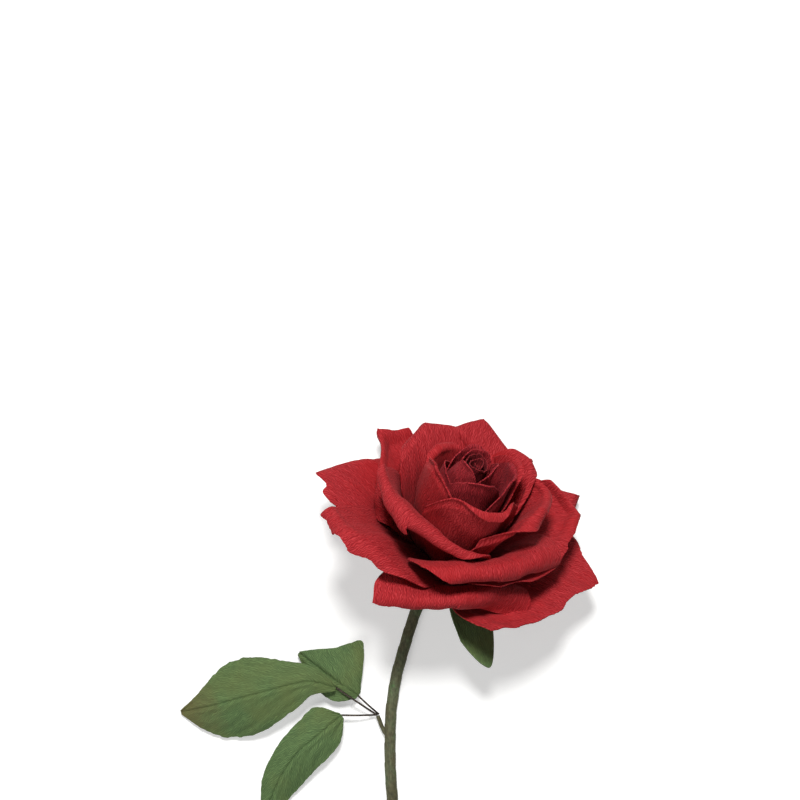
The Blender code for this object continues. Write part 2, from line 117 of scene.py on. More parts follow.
@dataclass
class Petal:
    """One petal, in millimetres and degrees. Right is the side with the larger azimuth,
    and each pair gives the left side and then the right side."""

    name: str
    azimuth: float      # of the middle of its rim
    reach: float        # rim's distance from the bloom's axis
    height: float       # rim's height over the bloom's base
    lean: float         # of the paper at the rim, from the axis: 90 lies flat, more droops
    width: float
    hem: float          # paper beyond the rim, which is curled back
    curl: tuple         # radius of the curl
    slope: tuple        # how far the curl's line falls to each side
    tip: float = 0.0    # the point's offset to the right
    flat: float = 1.5   # how much straighter the rim is than a circle round the axis
    cup: float = 0.0    # how far the sides stand above the middle
    layer: int = 5
    shoulder: tuple = (0.36, 0.36)  # share of the length the sides are shorter than the point
    point: float = 2.2
    widest: float = 0.55  # share of the length it takes to reach its full width
    start: float = 20.0  # lean at the glued foot
    swirl: float = 1.2  # left side in and right side out, so neighbours overlap


PETAL_FOOT = 2.4       # half width of a petal where it is glued
SIDE_BLEND = 12        # width over which a petal's left numbers give way to its right ones
BEND_STIFFNESS = 0.42  # how far the foot's and the rim's leans carry along the middle line
BLOOM_LEAN = -20       # degrees to the right
BLOOM_TIP = -43        # degrees back from straight up
BLOOM_BASE = (17.3, 229.8)  # across and along the table
TABLE_Z = -2.65        # below the middle of the stem


def smooth(t):
    """0 to 1 with a flat start and end."""
    t = np.clip(t, 0.0, 1.0)
    return t * t * (3 - 2 * t)


# Where each layer is glued: six of petals up the bloom's core, then the sepals on the hip
FOOT_RADIUS = (3.2, 4.4, 5.6, 6.8, 8.0, 9.2, 7.9)
FOOT_HEIGHT = (8.5, 6.8, 5.1, 3.4, 1.9, 0.5, -3.0)


def petal_meridian(p):
    """The petal's middle line as a table: length along it, radius, height and lean."""
    foot = np.array([FOOT_RADIUS[p.layer], FOOT_HEIGHT[p.layer]])
    rim = np.array([p.reach, p.height])
    handle = BEND_STIFFNESS * np.linalg.norm(rim - foot)
    start, lean = math.radians(p.start), math.radians(p.lean)
    a = foot + handle * np.array([math.sin(start), math.cos(start)])
    b = rim - handle * np.array([math.sin(lean), math.cos(lean)])
    t = np.linspace(0, 1, 60)[:, None]
    line = (1 - t)**3 * foot + 3 * (1 - t)**2 * t * a + 3 * (1 - t) * t**2 * b + t**3 * rim
    run = np.gradient(line, axis=0)
    length = np.concatenate([[0], np.cumsum(np.linalg.norm(np.diff(line, axis=0), axis=1))])
    return length, line[:, 0], line[:, 1], np.unwrap(np.arctan2(run[:, 0], run[:, 1]))


def petal_grid(p, columns, low_rows, hem_rows, push=0.0, ruffle=0.0, ragged=1.0, loose=1.0,
               fuller=1.3):
    """Middle surface of a petal in the bloom's frame, its outward directions, and each point's
    place across and along the flat blank.

    Push moves the points outwards and ruffle waves them. Ragged lengthens or shortens the blank
    column by column, loose opens or tightens the curl, and fuller below 1.3 widens its foot."""
    length, radius, height, lean = petal_meridian(p)
    rim = length[-1]
    whole = rim + p.hem
    half = p.width / 2

    # The flat blank: its top edge, and the line it curls about
    across = np.linspace(-1, 1, columns + 1)[None, :]
    off_tip = across - p.tip / half
    side = smooth(0.5 + off_tip * half / SIDE_BLEND)
    shoulder = p.shoulder[0] + (p.shoulder[1] - p.shoulder[0]) * side
    top = whole * (1 - shoulder * (np.abs(off_tip) / (1 + abs(p.tip / half))) ** p.point) * ragged
    slope = np.radians(p.slope[0] + (p.slope[1] - p.slope[0]) * side)
    curl = (p.curl[0] + (p.curl[1] - p.curl[0]) * side) * loose
    split = np.clip(rim - np.abs(off_tip) * half * np.tan(slope), 0.3 * top, 0.88 * top)
    low = np.linspace(0, 1, low_rows + 1)[:, None] * split
    high = split + np.linspace(0, 1, hem_rows + 1)[1:, None] * (top - split)
    y = np.vstack([low, high])
    filled = np.sin(np.pi / 2 * np.clip(y / whole / p.widest, 0, 1)) ** fuller
    x = across * (PETAL_FOOT + (half - PETAL_FOOT) * filled)
    share = x / half

    # Curl the hem backwards about the line
    beyond = (y - (rim - np.abs(x - p.tip) * np.tan(slope))) * np.cos(slope)
    turn = np.maximum(beyond, 0) / curl
    back = curl * (turn - np.sin(turn))
    drop = curl * (1 - np.cos(turn))
    flat_x, flat_y = x, y
    x = x - np.sign(x - p.tip) * np.sin(slope) * back
    y = y - np.cos(slope) * back
    rise = smooth(y / whole / 0.8)
    lift = p.cup * share**2 * rise - p.swirl * across * smooth(y / whole / 0.25) - drop - push + ruffle

    # Wrap the blank round the bloom's axis, straighter towards the rim
    r = np.interp(y, length, radius)
    z = np.interp(y, length, height)
    b = np.interp(y, length, lean)
    past = np.maximum(y - rim, 0)
    r = r + past * math.sin(lean[-1])
    z = z + past * math.cos(lean[-1])
    bend = r * (1 + (p.flat - 1) * rise)
    angle = x / bend
    outward = r - bend + (bend - lift * np.cos(b)) * np.cos(angle)
    sideways = (bend - lift * np.cos(b)) * np.sin(angle)
    up = z + lift * np.sin(b)
    c, s = math.cos(math.radians(p.azimuth)), math.sin(math.radians(p.azimuth))
    turn = angle + math.radians(p.azimuth)
    away = np.stack([np.cos(b) * np.cos(turn), np.cos(b) * np.sin(turn), -np.sin(b)], axis=2)
    grid = np.stack([outward * c - sideways * s, outward * s + sideways * c, up], axis=2)
    return grid, away, flat_x, flat_y


# In the order they are glued on, each outside the ones before it
PETALS = (
    Petal("petal_inner_1", 100, 7.5, 65, 3, 25, 1.5, (3, 3), (10, 10), flat=1.0, layer=0, swirl=0.8),
    Petal("petal_inner_2", 350, 7.8, 66, 3, 25, 1.5, (3, 3), (10, 10), flat=1.0, layer=0, swirl=0.8),
    Petal("petal_inner_3", 237, 8.0, 67, 2, 24, 2, (3, 3), (4, 4), flat=2, layer=0, swirl=0.8),
    Petal("petal_heart_1", 105, 11, 60, 6, 30, 2, (3, 3), (12, 12), flat=1.0, layer=1, start=26, swirl=0.8),
    Petal("petal_heart_2", 190, 11, 55, 5, 28, 2, (3, 3), (12, 12), flat=1.0, layer=1, start=26, swirl=0.8),
    Petal("petal_heart_3", 285, 12, 64, 5, 34, 2, (3, 3), (8, 8), flat=1.3, layer=1, start=26, swirl=0.8),
    Petal("petal_heart_4", 8, 16, 62, 8, 36, 2.5, (3, 3), (12, 12), flat=1.2, layer=1, start=30, swirl=0.8),
    Petal("petal_mid_1", 90, 19, 50, 20, 26, 4, (2.6, 2.6), (15, 15), flat=1.1, layer=2, start=36),
    Petal("petal_mid_2", 145, 19, 51, 22, 34, 5, (2.6, 2.6), (15, 15), flat=1.1, layer=2, start=36),
    Petal("petal_mid_3", 33, 20.5, 58, 20, 35, 3, (2.6, 2.6), (15, 15), flat=1.2, layer=2, start=38),
    Petal("petal_mid_4", 229, 16, 60, 10, 36, 3, (2.5, 2.5), (45, 25), tip=-9, flat=3, layer=2, start=36,
          shoulder=(0.45, 0.25), point=1.1),
    Petal("petal_mid_5", 296, 18.5, 60, 26, 44, 6, (2.2, 2.2), (6, 6), flat=3.5, layer=2, start=40),
    Petal("petal_round_1", 48, 30, 51, 48, 31, 7, (3, 3), (15, 15), flat=1.3, layer=3, start=48),
    Petal("petal_round_2", 130, 37, 43, 65, 40, 11, (4, 4), (14, 26), flat=1.3, layer=3, start=50, swirl=3),
    Petal("petal_round_3", 358, 28.5, 53, 46, 46, 12, (4, 4), (16, 6), flat=1.3, layer=3, start=48),
    Petal("petal_round_4", 238, 31, 50, 58, 62, 15, (5.4, 3.6), (8, 24), flat=2.2, layer=3,
          shoulder=(0.15, 0.4), start=48),
    Petal("petal_wide_1", 92, 53, 32, 75, 66, 5, (4, 4), (35, 35), layer=4, start=58),
    Petal("petal_wide_2", 156, 49, 30, 92, 48, 10, (4, 4), (10, 40), tip=-12, layer=4,
          shoulder=(0.2, 0.45), point=1.3, start=55),
    Petal("petal_wide_3", 308, 36, 42, 66, 66, 14, (5, 5), (8, 6), cup=-4, flat=3.5, layer=4,
          shoulder=(0.3, 0.12), point=3, start=58),
    Petal("petal_wide_4", 2, 51, 36, 78, 74, 6, (4, 4), (8, 25), tip=18.5, flat=1.3, layer=4, start=60,
          shoulder=(0.3, 0.3), point=1.2),
    Petal("petal_wide_5", 228, 52, 34, 80, 50, 10, (4.5, 4.5), (0, 22), tip=-12.5, cup=-4, flat=2.5, layer=4,
          shoulder=(0.1, 0.45), start=62),
    Petal("petal_outer_1", 287, 40, 28, 90, 74, 15, (5.5, 5.5), (0, 22), cup=-12, flat=4,
          shoulder=(0.12, 0.34), point=3, widest=0.8, start=72),
    Petal("petal_outer_3", 38, 60, 24, 88, 38, 6, (4, 4), (40, 40), flat=1.3, start=76),
    Petal("petal_outer_2", 347, 68, 14, 90, 78, 3, (5, 5), (8, 35), tip=19.5, flat=1.3, start=78,
          shoulder=(0.32, 0.6), point=1.0),
    Petal("petal_outer_4", 170, 61, 24, 85, 46, 6, (4, 4), (36, 30), tip=11.5, flat=1.3, start=74,
          shoulder=(0.22, 0.5), point=1.2),
    Petal("petal_outer_5", 115, 43, 23, 85, 46, 4, (4, 4), (35, 35), flat=1.3, start=76),
)


def grid_size(p):
    """Columns, rows below the curl and rows in it, on the coarse grid that settles."""
    if p.layer == 6:
        return (4, 5, 1)
    return (6, 4, 3) if p.layer < 2 else (8, 4, 5)


CLEAR = 1.1          # between the middle surfaces of two petals
CROSS_CLEAR = 1.0    # the same where two petals cross between their grid points
REACH = 9.0          # how far a petal is pushed at most in one go
NUDGE = 0.4          # the push where two petals still cross
SETTLED = 0.05       # the largest push that is no longer worth making
ROUNDS = 16          # of pushes at most
FOLLOW = 0.85        # how much of a push the paper beside it follows
FACES_MET = 4        # faces that one ray is followed through


def grid_tree(grid):
    """A search tree of the faces between a grid's points."""
    rows, columns = grid.shape[:2]
    quads = [(i * columns + j, i * columns + j + 1, (i + 1) * columns + j + 1, (i + 1) * columns + j)
             for i in range(rows - 1) for j in range(columns - 1)]
    return BVHTree.FromPolygons([tuple(v) for v in grid.reshape(-1, 3)], quads)


def farthest_hit(tree, start, way, reach):
    """Distance to the last face met between CLEAR behind the start and the reach before it."""
    found = None
    gone = -CLEAR
    for _ in range(FACES_MET):
        hit, _, _, distance = tree.ray_cast(start + way * gone, way, reach - gone)
        if hit is None:
            break
        gone += distance + 1e-4
        found = gone
    return found


def push_needed(outer, inner, tree_outer, tree_inner, tree_near):
    """How far each grid point of the outer petal has to move to lie clear outside the inner one.

    The near tree is the outer petal moved in by its clearance."""
    grid, away = outer
    need = np.zeros(grid.shape[:2])
    for i in range(1, grid.shape[0]):
        for j in range(grid.shape[1]):
            met = farthest_hit(tree_inner, Vector(grid[i, j]), Vector(away[i, j]), REACH)
            if met is not None:
                need[i, j] = met + CLEAR
    grid, away = inner
    columns = need.shape[1] - 1
    for i in range(1, grid.shape[0]):
        for j in range(grid.shape[1]):
            way = -Vector(away[i, j])
            hit, _, face, distance = tree_outer.ray_cast(Vector(grid[i, j]) - way * CLEAR, way, REACH + CLEAR)
            if hit is None:
                continue
            row, column = divmod(face, columns)
            patch = need[row:row + 2, column:column + 2]
            np.maximum(patch, distance, out=patch)
    for face, _ in tree_near.overlap(tree_inner):
        row, column = divmod(face, columns)
        patch = need[row:row + 2, column:column + 2]
        np.maximum(patch, NUDGE, out=patch)
    return need


def evened(values):
    """Each value of a grid as the mean of the four beside it."""
    padded = np.pad(values, 1, mode="edge")
    return (padded[:-2, 1:-1] + padded[2:, 1:-1] + padded[1:-1, :-2] + padded[1:-1, 2:]) / 4


def settle(petals):
    """Pushes every petal off the ones glued on before it, as the paper itself would.

    Gives the outward push of each grid point by petal name."""
    pushes, made, trees = {}, {}, {}
    for k, p in enumerate(petals):
        columns, low, hem = grid_size(p)
        push = np.zeros((low + hem + 1, columns + 1))
        for _ in range(ROUNDS):
            grid, away = made[p.name] = petal_grid(p, columns, low, hem, push)[:2]
            trees[p.name] = grid_tree(grid)
            near = grid_tree(grid - away * CROSS_CLEAR)
            need = np.zeros_like(push)
            for inner in petals[:k]:
                need = np.maximum(need, push_needed(made[p.name], made[inner.name], trees[p.name],
                                                    trees[inner.name], near))
            if need.max() < SETTLED:
                break
            push = push + need
            for _ in range(3):
                push = np.maximum(push, FOLLOW * evened(push))
            push[0] = 0
        pushes[p.name] = push
    return pushes


def wander(along, across, seed):
    """Smooth random heights from -1 to 1, one bump for each unit of the two coordinates.

    What a call adds to a coordinate only starts it elsewhere among the random heights."""
    table = np.random.default_rng(seed).uniform(-1, 1, (128, 256))
    i, j = np.floor(along).astype(int), np.floor(across).astype(int)
    s, t = smooth(along - i), smooth(across - j)
    corner = [table[(i + a) % 128, (j + b) % 256] for a, b in ((0, 0), (0, 1), (1, 0), (1, 1))]
    return (corner[0] * (1 - t) + corner[1] * t) * (1 - s) + (corner[2] * (1 - t) + corner[3] * t) * s


def spread_push(push, low, hem, low_rows, hem_rows, columns):
    """The coarse grid's pushes read off over a finer grid, without its corners."""
    row = np.concatenate([np.linspace(0, low, low_rows + 1), low + np.linspace(0, hem, hem_rows + 1)[1:]])
    column = np.linspace(0, push.shape[1] - 1, columns + 1)
    i = np.minimum(row.astype(int), push.shape[0] - 2)
    j = np.minimum(column.astype(int), push.shape[1] - 2)
    s, t = (row - i)[:, None], (column - j)[None, :]
    fine = ((push[i][:, j] * (1 - t) + push[i][:, j + 1] * t) * (1 - s)
            + (push[i + 1][:, j] * (1 - t) + push[i + 1][:, j + 1] * t) * s)
    for _ in range(columns // 3):
        fine = evened(fine)
    fine[0] = 0
    return fine


def normals_of(grid):
    """Unit vectors square to a grid's surface."""
    normal = np.cross(np.gradient(grid, axis=1), np.gradient(grid, axis=0))
    return normal / np.maximum(np.linalg.norm(normal, axis=2, keepdims=True), 1e-9)


PUCKER = (1.4, 7)      # width and length of a pucker in the paper
FOLD = (3.6, 40)       # the same of a fold gathered in at the foot
FOLD_FADE = 0.75       # how much of a fold is gone at the rim


def crepe(grid, across, along, seed, depth=0.05, gather=0.3):
    """Presses soft puckers into a sheet, and the longer folds gathered in at its foot."""
    ridges = wander(along / PUCKER[1] + 40, across / PUCKER[0] + 90, seed)
    folds = wander(along / FOLD[1] + 40, across / FOLD[0] + 90, seed + 1)
    folds = folds * (1 - FOLD_FADE * smooth(along / along.max()))
    return grid + normals_of(grid) * (depth * ridges + gather * folds)[..., None]


MAP_UNIT = 100         # millimetres of paper to one unit of the UV map


def put_in_scene(name, data):
    """An object for a mesh, a lamp or a camera, at the origin and unturned."""
    made = bpy.data.objects.new(name, data)
    bpy.context.scene.collection.objects.link(made)
    return made


def shell(name, points, faces, blank, sharp, finish, place):
    """A closed mesh in its place, with each point's place on the blank as its UV map."""
    turned = np.array(place)
    points = points * MM @ turned[:3, :3].T + turned[:3, 3]
    mesh = bpy.data.meshes.new(name)
    mesh.from_pydata([tuple(p) for p in points], [], faces)
    corners = np.zeros(len(mesh.loops), int)
    mesh.loops.foreach_get("vertex_index", corners)
    mesh.uv_layers.new(name="blank").data.foreach_set("uv", (blank[corners] / MAP_UNIT).ravel())
    mesh.shade_smooth()
    mesh.set_sharp_from_angle(angle=math.radians(sharp))
    mesh.materials.append(finish)
    return put_in_scene(name, mesh)


def sheet_piece(name, grid, across, along, thickness, finish, place):
    """A closed sheet from its middle surface, with its blank in the middle of the map's width."""
    rows, columns = grid.shape[:2]
    half = normals_of(grid) * thickness / 2
    points = np.vstack([(grid + half).reshape(-1, 3), (grid - half).reshape(-1, 3)])
    count = rows * columns
    faces = []
    for i in range(rows - 1):
        for a in range(i * columns, i * columns + columns - 1):
            faces.append((a, a + 1, a + 1 + columns, a + columns))
            faces.append((a + count, a + columns + count, a + 1 + columns + count, a + 1 + count))
    rim = list(range(columns)) + [i * columns + columns - 1 for i in range(1, rows)]
    rim += [(rows - 1) * columns + j for j in range(columns - 2, -1, -1)]
    rim += [i * columns for i in range(rows - 2, 0, -1)]
    faces += [(a, a + count, b + count, b) for a, b in zip(rim, rim[1:] + rim[:1])]
    blank = np.stack([MAP_UNIT / 2 + across, along], axis=2).reshape(-1, 2)
    return shell(name, points, faces, np.vstack([blank, blank]), 60, finish, place)


# Noise in the crepe: width and length in millimetres, and its strength. The first swings the
# ridges, in radians, and the others are its fine grain and its long streaks
SWING = (1.5, 2.2, 9.0)
GRAIN = (0.5, 1.8, 1.6)
STREAKS = (1.6, 9.0, 1.2)
BEND = 2.0             # how far the ridges stray sideways, in millimetres
BENDS = 14.0           # to one unit of the map
DYE_PATCHES = 38.0     # to a metre
PAINTED_FOOT_SHADE = (12, 38)  # where the painted shade at a petal's foot starts to fade and ends, in millimetres
RIDGE_HEIGHT = 0.06    # in millimetres


def crepe_paper(name, pitch, painted_groove_shade, middle, painted_crest_highlight, blotch, fuzz, painted_foot_shade=1.0):
    """Heavy crepe paper, dull and a little fuzzy: the ridges catch the light, and the colour is
    painted lighter on their crests and darker in their grooves, as painted highlight and shade.
    The pitch between its wavy ridges is in millimetres, and the painted foot shade is how much
    of its brightness the colour keeps near a petal's foot, as painted shade among the petals."""
    finish, tree, shader = new_finish(name, Roughness=0.8, Sheen_Weight=0.08, Sheen_Roughness=0.5,
                                      Sheen_Tint=srgb(fuzz), IOR=1.45, Specular_IOR_Level=0.25)
    blank = add_node(tree, "ShaderNodeUVMap", uv_map="blank").outputs["UV"]
    parts = add_node(tree, "ShaderNodeSeparateXYZ", {0: blank}).outputs
    drift = add_node(tree, "ShaderNodeTexNoise", {"Vector": blank, "Scale": BENDS, "Detail": 2.0})
    bent = add_node(tree, "ShaderNodeMath",
                    {0: drift.outputs["Fac"], 1: BEND / MAP_UNIT, 2: parts["X"]}, operation="MULTIPLY_ADD")
    layers = []
    for width, length, _ in (SWING, GRAIN, STREAKS):
        u = add_node(tree, "ShaderNodeMath", {0: bent.outputs[0], 1: MAP_UNIT / width}, operation="MULTIPLY")
        v = add_node(tree, "ShaderNodeMath", {0: parts["Y"], 1: MAP_UNIT / length}, operation="MULTIPLY")
        at = add_node(tree, "ShaderNodeCombineXYZ", {0: u.outputs[0], 1: v.outputs[0]})
        noise = add_node(tree, "ShaderNodeTexNoise", {"Vector": at.outputs[0], "Scale": 1.0, "Detail": 0.0},
                         noise_dimensions="2D")
        layers.append(noise.outputs["Fac"])
    place_in_wave = add_node(tree, "ShaderNodeMath", {0: bent.outputs[0], 1: 2 * math.pi * MAP_UNIT / pitch},
                             operation="MULTIPLY")
    swing = add_node(tree, "ShaderNodeMath", {0: layers[0], 1: SWING[2], 2: place_in_wave.outputs[0]},
                     operation="MULTIPLY_ADD")
    ridge = add_node(tree, "ShaderNodeMath", {0: swing.outputs[0]}, operation="SINE")
    fine = add_node(tree, "ShaderNodeMath", {0: layers[1], 1: GRAIN[2], 2: ridge.outputs[0]},
                    operation="MULTIPLY_ADD")
    both = add_node(tree, "ShaderNodeMath", {0: layers[2], 1: STREAKS[2], 2: fine.outputs[0]},
                    operation="MULTIPLY_ADD")
    level = add_node(tree, "ShaderNodeMapRange", {"Value": both.outputs[0], "From Min": 0.2, "From Max": 2.6})
    # Painted highlight and shade: the colour runs from darker in the ridges' grooves to lighter on their
    # crests.
    tint_with_painted_ridge_light = ramp(tree, level.outputs[0], ((0.15, painted_groove_shade), (0.5, middle), (0.85, painted_crest_highlight)))
    place = add_node(tree, "ShaderNodeTexCoord").outputs["Object"]
    dye = add_node(tree, "ShaderNodeTexNoise", {"Vector": place, "Scale": DYE_PATCHES, "Detail": 3.0})
    patch = add_node(tree, "ShaderNodeMapRange",
                     {"Value": dye.outputs["Fac"], "From Min": 0.48, "From Max": 0.72, "To Max": 0.5})
    mixed = add_node(tree, "ShaderNodeMix", {"Factor": patch.outputs[0], "A": tint_with_painted_ridge_light, "B": srgb(blotch)},
                     data_type="RGBA")
    # Painted shade: the colour is darker near a petal's foot, where the petals crowd in on one another.
    painted_shade_level = add_node(tree, "ShaderNodeMapRange",
                    {"Value": parts["Y"], "From Min": PAINTED_FOOT_SHADE[0] / MAP_UNIT,
                     "From Max": PAINTED_FOOT_SHADE[1] / MAP_UNIT, "To Min": painted_foot_shade})
    with_painted_foot_shade = add_node(tree, "ShaderNodeVectorMath", {0: mixed.outputs["Result"], "Scale": painted_shade_level.outputs[0]},
                      operation="SCALE")
    tree.links.new(with_painted_foot_shade.outputs["Vector"], shader.inputs["Base Color"])
    bump = add_node(tree, "ShaderNodeBump",
                    {"Height": both.outputs[0], "Strength": 0.8, "Distance": RIDGE_HEIGHT * MM})
    tree.links.new(bump.outputs["Normal"], shader.inputs["Normal"])
    return finish


red_crepe = crepe_paper("red_crepe_paper", 0.8, painted_groove_shade="#86121A", middle="#A01B20", painted_crest_highlight="#B03136",
                        blotch="#A8191D", fuzz="#C06A6C", painted_foot_shade=0.55)
# The heart's paper is a darker copy of the red: partly the paper's own darker colour, partly painted shade
# where the heart lies within the bloom.
heart_crepe_with_painted_shade = crepe_paper("heart_crepe_paper", 0.7, painted_groove_shade="#70101A", middle="#951A22", painted_crest_highlight="#AD3239",
                          blotch="#84121A", fuzz="#B0606A", painted_foot_shade=0.55)

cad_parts["bud_core"].data.materials.clear()
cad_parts["bud_core"].data.materials.append(heart_crepe_with_painted_shade)

pushes = settle(PETALS)
bloom_frame = (Matrix.Rotation(math.radians(BLOOM_LEAN), 4, "Z")
               @ Matrix.Rotation(math.radians(BLOOM_TIP), 4, "X"))
coarse = [petal_grid(p, *grid_size(p), push=pushes[p.name])[0] for p in PETALS]
turned = np.array(bloom_frame.to_3x3())
lowest = min(float((grid @ turned.T)[..., 2].min()) for grid in coarse) - PETAL_PAPER / 2
bloom_frame.translation = Vector((*BLOOM_BASE, TABLE_Z - lowest)) * MM

# Where rims were snipped or torn: the place across the blank, the width and the depth. Below
# zero the rim is left longer there
SNIPS = {
    "petal_outer_2": ((3, 8, 3.5), (29, 5, 3.0), (-24, 3, 1.5)),
    "petal_outer_4": ((16.5, 2.8, 5.0), (23.5, 2.5, 4.0), (-6, 8, 1.5)),
    "petal_wide_1": ((-8, 6, 2.0), (14, 3, 1.5)),
    "petal_wide_2": ((-2, 5, 1.5),),
    "petal_wide_4": ((6, 7, 2.0), (27, 3, 1.5)),
    "petal_wide_5": ((-20, 2.5, 2.0), (4, 8, 1.5)),
    "petal_round_4": ((1, 2.2, 3.0), (18, 5, 1.2)),
    "petal_outer_1": ((-14, 4, 1.2), (12, 7, 1.5)),
    "petal_mid_5": ((4, 13, -4.5), (17, 2, 1.5)),
    "petal_heart_3": ((-6, 2, 1.0), (5, 3, -1.5)),
}

# Rims that were curled round something thicker than the rest
THICKER_CURL = {"petal_mid_5": 1.9, "petal_outer_1": 1.25, "petal_wide_5": 1.3}

# Points that stick out of a curled rim: the place across the blank, the width and how much
# wider the curl is there
FLAT_POINTS = {"petal_wide_2": ((-12, 4.5, 1.3),), "petal_mid_5": ((14, 4, 1.5),),
               "petal_round_3": ((-16, 5, 1.0),), "petal_wide_5": ((-3, 7, 1.4),)}


def dress(piece, slot, *nodes):
    """The piece rides on the rose and stands for CAD nodes."""
    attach(piece, "root")
    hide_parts(*nodes)


# Petals cut wider just above the foot than the rest
FULL_FEET = ("petal_wide_2", "petal_wide_5")

# Finer grids: columns, rows below the curl and rows in it
HEART_GRID = (80, 22, 10)
PETAL_GRID = (144, 26, 18)

# Ruffles in the rim: height, length along the petal and width across it
HEART_RUFFLE = (0.9, 14, 5)
PETAL_RUFFLE = (1.0, 22, 8)
RUFFLED_WIDTH = 40     # a narrower petal ruffles less

# The cut edge: depth of its small nicks and of its slow waves, and the width of a nick
NICK_DEPTH = 0.3
WAVE_DEPTH = 0.9
NICK_WIDTH = 1.1
UNEVEN_CURL = (0.14, 12)  # how much the curl's radius strays, and over what width

for number, p in enumerate(PETALS):
    at_heart = p.layer < 2
    columns, low_rows, hem_rows = HEART_GRID if at_heart else PETAL_GRID
    seed = 100 + 10 * number
    _, low, hem = grid_size(p)
    push = spread_push(pushes[p.name], low, hem, low_rows, hem_rows, columns)
    _, _, across, along = petal_grid(p, columns, low_rows, hem_rows)
    rise, length, width = HEART_RUFFLE if at_heart else PETAL_RUFFLE
    ruffle = (rise * smooth(along / along.max() * 1.1 - 0.1)
              * wander(along / length + 9, across / width + 30, seed))
    if not at_heart:
        ruffle = ruffle * min(1, p.width / RUFFLED_WIDTH)
    nicks = across[-1] / NICK_WIDTH + 60
    ragged = 1 + (NICK_DEPTH * wander(nicks, nicks, seed + 3)
                  + WAVE_DEPTH * wander(nicks / 6, nicks / 6, seed + 4)) / along.max()
    for middle, width, depth in SNIPS.get(p.name, ()):
        ragged = ragged - depth / along.max() * np.exp(-((across[-1] - middle) / width) ** 2)
    loose = 1 + UNEVEN_CURL[0] * wander(np.full_like(along, 3.5), across / UNEVEN_CURL[1] + 40, seed + 5)
    loose = loose * THICKER_CURL.get(p.name, 1)
    for middle, width, wider in FLAT_POINTS.get(p.name, ()):
        loose = loose + wider * np.exp(-((across - middle) / width) ** 2)
    grid, _, across, along = petal_grid(p, columns, low_rows, hem_rows, push, ruffle, ragged, loose,
                                        fuller=0.8 if p.name in FULL_FEET else 1.3)
    grid = crepe(grid, across, along, seed + 6, gather=0.3 if at_heart else 0.7)
    made = sheet_piece(p.name + "_paper", grid, across, along, PETAL_PAPER,
                       heart_crepe_with_painted_shade if at_heart else red_crepe, bloom_frame)
    dress(made, "crepe_red", p.name)


# Heart: a strip of the same paper rolled up tight and stood on the core, its top edge frayed
# and pinched as it was rolled between the fingers.
ROLL_FOOT = 51.5       # over the bloom's base
ROLL_HEIGHT = 12.5
ROLL_TURN = (-2.9, 3.4 * math.pi)  # from the strip's inner end to its outer one, in radians
ROLL_RADIUS = 1.5      # where the turn is zero
ROLL_GROWTH = 0.34     # of the radius for each radian
ROLL_FLARE = 0.8       # wider at the top edge than at the foot
PINCH = 0.5            # how far the top edge is pinched in or out
FRAY = 0.8             # how unevenly high it is

turn = np.linspace(*ROLL_TURN, 220)
rows = np.linspace(0, 1, 30)
across, along = np.meshgrid(turn * (ROLL_RADIUS + ROLL_GROWTH / 2 * turn), rows * ROLL_HEIGHT)
open_up = ROLL_FLARE * rows[:, None]
spiral = ROLL_RADIUS + ROLL_GROWTH * turn[None, :] + open_up
spiral = spiral + PINCH * rows[:, None] * wander(along / 5, across / 1.6, 9)
height = ROLL_FOOT + along + open_up * np.sin(1.7 * turn)[None, :]
height = height + FRAY * rows[:, None] * wander(along, across, 7)
grid = np.stack([spiral * np.cos(turn), spiral * np.sin(turn), height], axis=2)[::-1]
grid = crepe(grid, across, along, 8, depth=0.04, gather=0.1)
roll = sheet_piece("bud_roll_paper", grid, across, along, PETAL_PAPER, heart_crepe_with_painted_shade, bloom_frame)
dress(roll, "crepe_red", "bud_roll")


# Hip and sepals: green crepe bound over the petals' feet, and five sepals cut from the same
# paper. One is broad and hangs below the bloom; the others are short and lie against it.
LEAF_PAPER = 0.5
green_crepe = crepe_paper("green_crepe_paper", 0.62, painted_groove_shade="#465A37", middle="#516B41", painted_crest_highlight="#61794A",
                          blotch="#666A3A", fuzz="#88987A")

SEPALS = (
    Petal("sepal_1", 314, 54, -19, 112, 19, 0.5, (5, 5), (0, 0), layer=6, shoulder=(0.3, 0.3), point=1.6,
          start=102),
    *(Petal(name, azimuth, reach, height, lean, 11, 0.5, (5, 5), (0, 0), layer=6, shoulder=(0.85, 0.85),
            point=1.2, start=75)
      for name, azimuth, reach, height, lean in (
          ("sepal_2", 12, 32, -7, 100), ("sepal_3", 84, 24, 1, 86), ("sepal_4", 156, 31, -5, 100),
          ("sepal_5", 228, 26, -10, 115))),
)

# The same as for the petals
SEPAL_GRID = (64, 30, 2)
SEPAL_RUFFLE = (0.5, 16, 6)

for number, p in enumerate(SEPALS):
    _, _, across, along = petal_grid(p, *SEPAL_GRID)
    rise, length, width = SEPAL_RUFFLE
    ruffle = rise * smooth(along / along.max()) * wander(along / length + 4, across / width + 30, 60 + number)
    grid, _, across, along = petal_grid(p, *SEPAL_GRID, ruffle=ruffle)
    grid = crepe(grid, across, along, 70 + number, gather=0.1)
    made = sheet_piece(p.name + "_paper", grid, across, along, LEAF_PAPER, green_crepe, bloom_frame)
    dress(made, "crepe_green", p.name)


